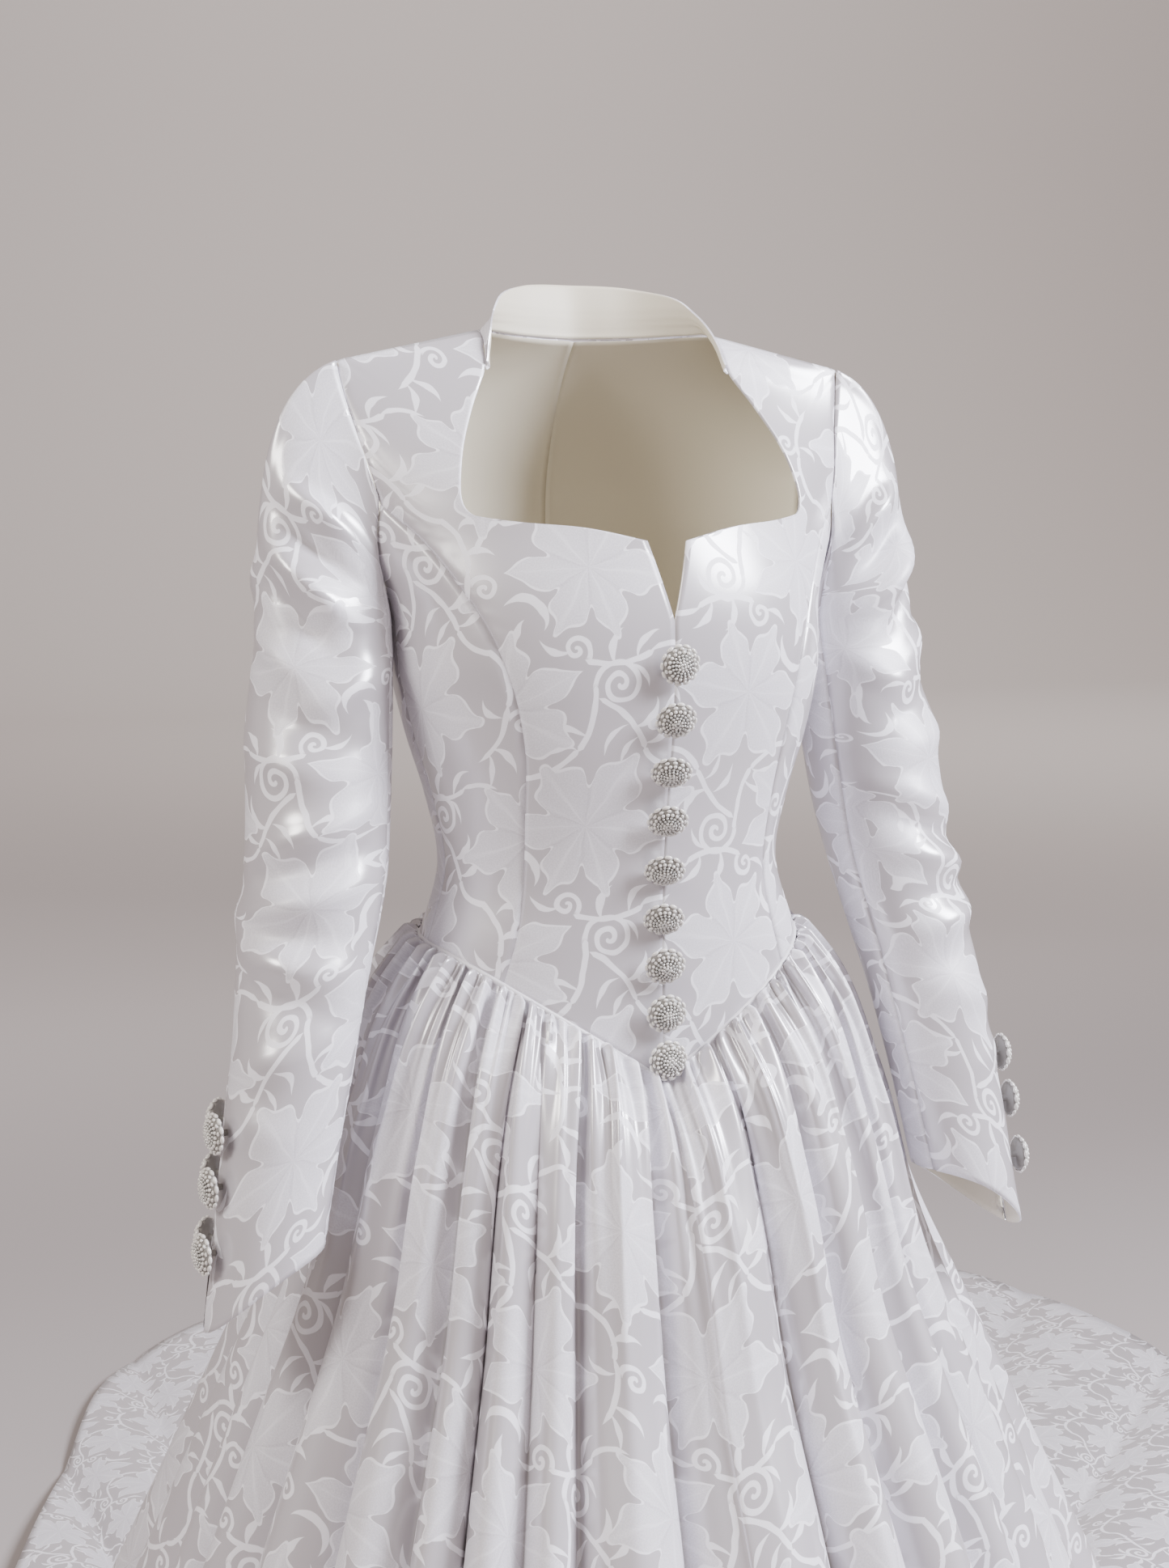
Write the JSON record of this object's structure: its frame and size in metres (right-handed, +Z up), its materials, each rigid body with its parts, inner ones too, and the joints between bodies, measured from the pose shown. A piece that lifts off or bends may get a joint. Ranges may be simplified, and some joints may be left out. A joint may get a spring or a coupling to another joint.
{
  "type": "wedding dress",
  "caption": "Long-sleeved satin damask wedding dress with a fitted pointed bodice, a standing collar, beaded buttons, a gathered skirt and a long train, hollow as worn.",
  "frame": {"origin": "midway between the tips of the shoulders, where the wearer holds the dress up", "axes": "+Z up; the front of the dress faces -Y; +X is the wearer's left"},
  "size_m": [2.047, 2.7449, 1.4397],
  "materials": {
    "damask": "satin ground with a woven matt pattern of lilies and scrolling vines",
    "piping": "satin, corded",
    "beading": "pearl beads"
  },
  "bodies": {
    "root": {"back_left": "damask", "back_right": "damask", "button_cuff_left_back_1": "beading", "button_cuff_left_back_2": "beading", "button_cuff_left_back_3": "beading", "button_cuff_left_front_1": "beading", "button_cuff_left_front_2": "beading", "button_cuff_left_front_3": "beading", "button_cuff_right_back_1": "beading", "button_cuff_right_back_2": "beading", "button_cuff_right_back_3": "beading", "button_cuff_right_front_1": "beading", "button_cuff_right_front_2": "beading", "button_cuff_right_front_3": "beading", "button_front_1": "beading", "button_front_2": "beading", "button_front_3": "beading", "button_front_4": "beading", "button_front_5": "beading", "button_front_6": "beading", "button_front_7": "beading", "button_front_8": "beading", "button_front_9": "beading", "collar": "damask", "front_centre_left": "damask", "front_centre_right": "damask", "front_side_left": "damask", "front_side_right": "damask", "skirt_back_left": "damask", "skirt_back_right": "damask", "skirt_front": "damask", "skirt_side_left": "damask", "skirt_side_right": "damask", "sleeve_under_left": "damask", "sleeve_under_right": "damask", "sleeve_upper_left": "damask", "sleeve_upper_right": "damask", "waist_piping": "piping"}
  },
  "joints": []
}
